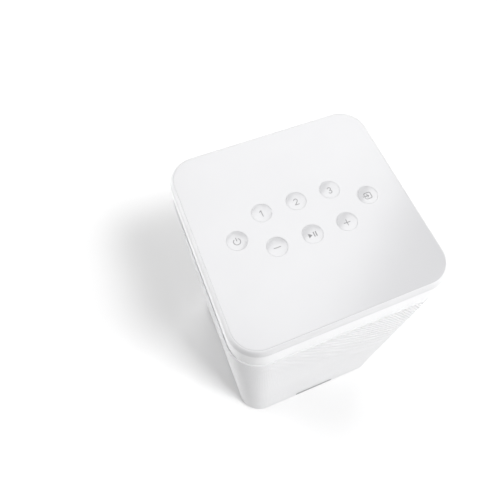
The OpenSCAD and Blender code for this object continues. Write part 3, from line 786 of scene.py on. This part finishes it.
def round_the_column(s, inset):
    """Points at a distance s along the column's outline from the middle of the front, as arrays."""
    side = 2 * CORNER_AT + math.pi / 2 * CORNER_R
    s = np.mod(s, 4 * side)
    quarter = np.floor(s / side)
    t = s - quarter * side
    turn = quarter * math.pi / 2
    along = np.stack([np.cos(turn), np.sin(turn)], -1)
    out = np.stack([np.sin(turn), -np.cos(turn)], -1)
    angle = np.clip((t - CORNER_AT) / CORNER_R, 0, math.pi / 2)
    before = np.minimum(t, CORNER_AT)
    after = np.maximum(t - CORNER_AT - math.pi / 2 * CORNER_R, 0)
    facing = out * np.cos(angle)[..., None] + along * np.sin(angle)[..., None]
    point = (out + along) * CORNER_AT
    point = point - along * (CORNER_AT - before)[..., None] - out * after[..., None]
    return point + facing * (CORNER_R - inset)


def between_rings(outer_angles, inner_angles):
    """Triangles between two rings of points round one centre, both given by their angles in degrees.

    Points 0, 1, ... are the outer ring's and the inner ring's follow them.
    """
    outer, inner = len(outer_angles), len(inner_angles)

    def turn_from_start(angle):
        return (angle - outer_angles[0] + 180) % 360 - 180

    start = min(range(inner), key=lambda k: abs(turn_from_start(inner_angles[k])))
    first_inner = turn_from_start(inner_angles[start])
    triangles = []
    o = i = 0
    while o < outer or i < inner:
        here = [o % outer, outer + (start + i) % inner]
        next_outer = 360 * (o + 1) / outer
        next_inner = first_inner + 360 * (i + 1) / inner
        if i >= inner or (o < outer and next_outer <= next_inner):
            o += 1
            triangles.append([here[0], o % outer, here[1]])
        else:
            i += 1
            triangles.append([here[0], outer + (start + i) % inner, here[1]])
    return np.array(triangles)


def skin(s, z, triangles, inset, thick):
    """A wall of that thickness over triangles of the unrolled column, closed along their edges."""
    used, triangles = np.unique(triangles, return_inverse=True)
    triangles = triangles.reshape(-1, 3)
    outer = round_the_column(s[used], inset)
    inner = round_the_column(s[used], inset + thick)
    count = len(used)
    vertices = np.concatenate([np.column_stack([outer, z[used]]), np.column_stack([inner, z[used]])])
    edges = np.concatenate([triangles[:, [0, 1]], triangles[:, [1, 2]], triangles[:, [2, 0]]])
    key = edges[:, 0] * count + edges[:, 1]
    back = edges[:, 1] * count + edges[:, 0]
    rim = edges[~np.isin(key, back)]
    a, b = rim[:, 0], rim[:, 1]
    walls = np.concatenate([np.column_stack([b, a, a + count]), np.column_stack([b, a + count, b + count])])
    return vertices, np.concatenate([triangles, triangles[:, ::-1] + count, walls])


def sleeve_lattice():
    """The sleeve unrolled: hexagonal cells in staggered rows, each with a hole or none."""
    length = 4 * (2 * CORNER_AT + math.pi / 2 * CORNER_R)
    columns = 4 * round(length / HOLE_PITCH / 4)
    pitch = length / columns
    z0, z1 = sleeve_low.z, sleeve_high.z
    margin = 1.3 * MM
    rows = 1 + round((z1 - z0 - 2 * margin) / (pitch * math.sqrt(3) / 2))
    row_step = (z1 - z0 - 2 * margin) / (rows - 1)
    return columns, rows, pitch, row_step, z0 + margin, z0, z1


def make_sleeve(parts=8):
    columns, rows, pitch, row_step, first_z, z0, z1 = sleeve_lattice()
    window_x = 39 * MM
    window_low, window_high = 12 * MM, 48 * MM
    margin = 4.2 * MM

    # zigzag lines between the rows: line j has 2 * columns points
    line = np.arange(rows + 1)
    column = np.arange(2 * columns)
    odd = (line[:, None] + column[None, :]) % 2
    corner_s = np.broadcast_to(column[None, :] * pitch / 2, odd.shape)
    corner_z = first_z + (line[:, None] - 1) * row_step + np.where(odd == 1, 2, 1) * row_step / 3
    corner_z[0] = z0
    corner_z[-1] = z1

    # row j's centres stand over the points of line j + 1 that reach highest
    row = np.arange(rows)
    centre_column = 2 * np.arange(columns)[None, :] + (row[:, None]) % 2
    centre_s = centre_column * pitch / 2
    centre_z = np.broadcast_to((first_z + row * row_step)[:, None], centre_s.shape)

    side = 2 * CORNER_AT + math.pi / 2 * CORNER_R
    from_back = np.abs(np.mod(centre_s, 4 * side) - 2 * side)
    in_window = ((from_back < window_x + 0.3 * pitch) & (centre_z > window_low - 0.3 * pitch)
                 & (centre_z < window_high + 0.3 * pitch))
    solid = ((from_back < window_x + margin) & (centre_z > window_low - margin)
             & (centre_z < window_high + margin)) & ~in_window

    sides = np.arange(HOLE_SIDES)
    hole_angle = 2 * math.pi * (sides + 0.5) / HOLE_SIDES
    hole_s = centre_s[..., None] + HOLE_R * np.cos(hole_angle)
    hole_z = centre_z[..., None] + HOLE_R * np.sin(hole_angle)

    corner_count = (rows + 1) * 2 * columns
    all_s = np.concatenate([corner_s.ravel(), hole_s.ravel()])
    all_z = np.concatenate([corner_z.ravel(), hole_z.ravel()])

    def corner_id(line_index, column_index):
        return line_index * 2 * columns + np.mod(column_index, 2 * columns)

    j = np.broadcast_to(row[:, None], centre_column.shape)
    c = centre_column
    hexagon = np.stack([corner_id(j, c + 1), corner_id(j + 1, c + 1), corner_id(j + 1, c),
                        corner_id(j + 1, c - 1), corner_id(j, c - 1), corner_id(j, c)], -1)
    hole = corner_count + (np.arange(rows * columns).reshape(rows, columns)[..., None]
                           * HOLE_SIDES + sides)

    pattern = between_rings([-30 + 60 * i for i in range(6)],
                            [math.degrees(a) for a in hole_angle])
    around = np.concatenate([hexagon, hole], -1)
    fan = np.array([[0, 1, 2], [0, 2, 3], [0, 3, 5], [3, 4, 5]])

    part_of = np.floor(c / (2 * columns) * parts).astype(int)
    pieces = []
    for part in range(parts):
        open_cells = (part_of == part) & ~in_window & ~solid
        solid_cells = (part_of == part) & solid
        triangles = np.concatenate([around[open_cells][:, pattern].reshape(-1, 3),
                                    hexagon[solid_cells][:, fan].reshape(-1, 3)])
        vertices, faces = skin(all_s, all_z, triangles, 0.0, SLEEVE_T)
        pieces.append(made_from_triangles(f"sleeve_{part + 1}", vertices, faces, "sleeve_paint",
                                          ["grille_sleeve"]))
    return pieces


sleeve_pieces = make_sleeve()


# ---------- liner, badge ----------

def make_liner():
    """A strip of acoustic cloth stretched behind the sleeve, open where the rear panel comes through."""
    low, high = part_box("grille_liner")
    inset = HALF - high.x
    thick = 0.3 * MM
    side = 2 * CORNER_AT + math.pi / 2 * CORNER_R
    window_x, window_low, window_high = 43 * MM, 8 * MM, 52 * MM
    stops_s = np.unique(np.round(np.concatenate([
        np.arange(0, 4 * side, 1.5 * MM), [2 * side - window_x, 2 * side + window_x]]), 7))
    stops_z = np.unique(np.round(np.concatenate([
        np.linspace(low.z, high.z, 48), [max(low.z, window_low), window_high]]), 7))
    around, up = len(stops_s), len(stops_z)
    s, z = np.meshgrid(stops_s, stops_z)
    i, j = (a.ravel() for a in np.meshgrid(np.arange(around), np.arange(up - 1)))
    n = (i + 1) % around
    middle_s = stops_s[i] + np.mod(stops_s[n] - stops_s[i], 4 * side) / 2
    middle_z = (stops_z[j] + stops_z[j + 1]) / 2
    keep = ((np.abs(middle_s - 2 * side) > window_x) | (middle_z < window_low)
            | (middle_z > window_high))
    i, j, n = i[keep], j[keep], n[keep]
    a, b, c, d = j * around + i, j * around + n, (j + 1) * around + n, (j + 1) * around + i
    triangles = np.concatenate([np.stack([a, b, c], -1), np.stack([a, c, d], -1)])
    vertices, faces = skin(s.ravel(), z.ravel(), triangles, inset, thick)
    cloth = made_from_triangles("liner_cloth", vertices, faces, "liner_cloth", ["grille_liner"])


def make_badge():
    """A blank bar with round ends, its front edge softened."""
    low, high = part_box("badge_plate")
    half_w, half_h = (high.x - low.x) / 2, (high.z - low.z) / 2
    mid_z = (high.z + low.z) / 2
    steps = 12
    bevel = 0.12 * MM
    build = Build()

    def loop(shrink, y):
        r = half_h - shrink
        points = []
        for side, start in ((1, -90), (-1, 90)):
            for i in range(steps + 1):
                a = math.radians(start + 180 * i / steps)
                points.append((side * (half_w - half_h) + r * math.cos(a), y, mid_z + r * math.sin(a)))
        return build.ring(points)

    rings = [loop(0, high.y), loop(0, low.y + bevel), loop(0.3 * bevel, low.y + 0.25 * bevel),
             loop(bevel, low.y)]
    for near, far in zip(rings, rings[1:]):
        build.join(near, far)
    build.faces.append(tuple(rings[-1]))
    build.faces.append(tuple(rings[0][::-1]))
    return made("badge_bar", build.vertices, build.faces, "badge_metal", stands_for=["badge_plate"])


def make_wadding():
    """The pad of damping felt behind the woofer: a slab with soft edges and an uneven face."""
    low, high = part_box("damping_wadding")
    soft = 7 * MM
    build = Build()
    for axis in range(3):
        u, v = (axis + 1) % 3, (axis + 2) % 3
        count = [max(4, round((high[k] - low[k]) / (2 * MM))) for k in (u, v)]
        for end in (0, 1):
            grid = []
            for i in range(count[0] + 1):
                row = []
                for j in range(count[1] + 1):
                    p = [0.0, 0.0, 0.0]
                    p[axis] = (low, high)[end][axis]
                    p[u] = low[u] + (high[u] - low[u]) * i / count[0]
                    p[v] = low[v] + (high[v] - low[v]) * j / count[1]
                    core = Vector([min(max(p[k], low[k] + soft), high[k] - soft) for k in range(3)])
                    out = Vector(p) - core
                    lump = 0.5 + 0.5 * noise.noise(Vector(p) * 90) + 0.25 * noise.noise(Vector(p) * 320)
                    reach = soft - 1.6 * MM * min(max(lump, 0.0), 1.0)
                    row.append(tuple(core + out.normalized() * reach))
                grid.append(build.ring(row))
            for i in range(count[0]):
                for j in range(count[1]):
                    quad = (grid[i][j], grid[i + 1][j], grid[i + 1][j + 1], grid[i][j + 1])
                    build.faces.append(quad if end else quad[::-1])
    pad = made("wadding_pad", build.vertices, build.faces, "wadding", stands_for=["damping_wadding"])
    shell = bmesh.new()
    shell.from_mesh(pad.data)
    bmesh.ops.remove_doubles(shell, verts=list(shell.verts), dist=0.01 * MM)
    shell.to_mesh(pad.data)
    shell.free()
    pad.data.shade_smooth()


make_liner()
make_badge()
make_wadding()


# ---------- CAD nodes that stay ----------

record = frame["record"]
slot_of = {part["node"]: part["material_slot"] for part in record["subparts"]}
for node_name, node in frame["nodes"].items():
    if not node.hide_render:
        node.data.materials.clear()
        node.data.materials.append(MATERIALS[slot_of[node_name]])


# ---------- stage, light and camera ----------

def make_floor():
    mesh = bpy.data.meshes.new("floor")
    size = 6.0
    mesh.from_pydata([(-size, -size, 0), (size, -size, 0), (size, size, 0), (-size, size, 0)], [],
                     [(0, 1, 2, 3)])
    paint = Nodes("floor_paint")
    paint.set(Base_Color=(0.97, 0.97, 0.97, 1.0), Roughness=0.9, Specular_IOR_Level=0.1)
    mesh.materials.append(paint.material)
    floor = bpy.data.objects.new("floor", mesh)
    bpy.context.scene.collection.objects.link(floor)


def area_light(name, direction, size, power, roll=0.0):
    """A softbox that looks at the speaker from a direction, rolled about its axis by degrees."""
    data = bpy.data.lights.new(name, "AREA")
    data.shape = "RECTANGLE"
    data.size, data.size_y = size
    data.energy = power
    light = bpy.data.objects.new(name, data)
    aim = Vector(direction).normalized()
    light.location = Vector((0, 0, 0.1)) + aim * LIGHT_DISTANCE
    turn = Quaternion((0, 0, 1), math.radians(roll))
    light.rotation_euler = (aim.to_track_quat("Z", "Y") @ turn).to_euler()
    bpy.context.scene.collection.objects.link(light)
    return light


def make_world(level):
    world = bpy.data.worlds.new("studio")
    world.use_nodes = True
    background = world.node_tree.nodes["Background"]
    background.inputs["Color"].default_value = (1.0, 1.0, 1.0, 1.0)
    background.inputs["Strength"].default_value = level
    bpy.context.scene.world = world


def make_camera():
    data = bpy.data.cameras.new("view")
    data.lens = VIEW_LENS
    data.sensor_width = 36.0
    data.sensor_fit = "HORIZONTAL"
    data.shift_x, data.shift_y = VIEW_SHIFT
    data.clip_start = 0.01
    data.clip_end = 30.0
    camera = bpy.data.objects.new("view", data)
    camera.location = VIEW_FROM
    camera.rotation_euler = [math.radians(a) for a in VIEW_TILT]
    bpy.context.scene.collection.objects.link(camera)
    bpy.context.scene.camera = camera


def compass(turn, height):
    """A direction by its turn from the front towards +X and its height, in degrees."""
    turn, height = math.radians(turn), math.radians(height)
    return (math.sin(turn) * math.cos(height), -math.cos(turn) * math.cos(height), math.sin(height))


make_floor()
make_world(0.08)
key_light = area_light("key", compass(29, 60), (0.36, 0.36), 14.4)
key_light.visible_glossy = False         # no small sharp glints on the rims of the dishes
area_light("right_box", compass(65, 45), (1.0, 1.0), 3.6)
area_light("right_fill", compass(49, 20), (1.0, 1.0), 9.3)
area_light("left_fill", compass(231, 11.5), (0.9, 0.9), 20.0)
area_light("back_box", compass(158, 54), (1.1, 1.65), 11.2, roll=-20)
make_camera()
bpy.context.scene.view_settings.view_transform = "Standard"
bpy.context.scene.view_settings.look = "None"
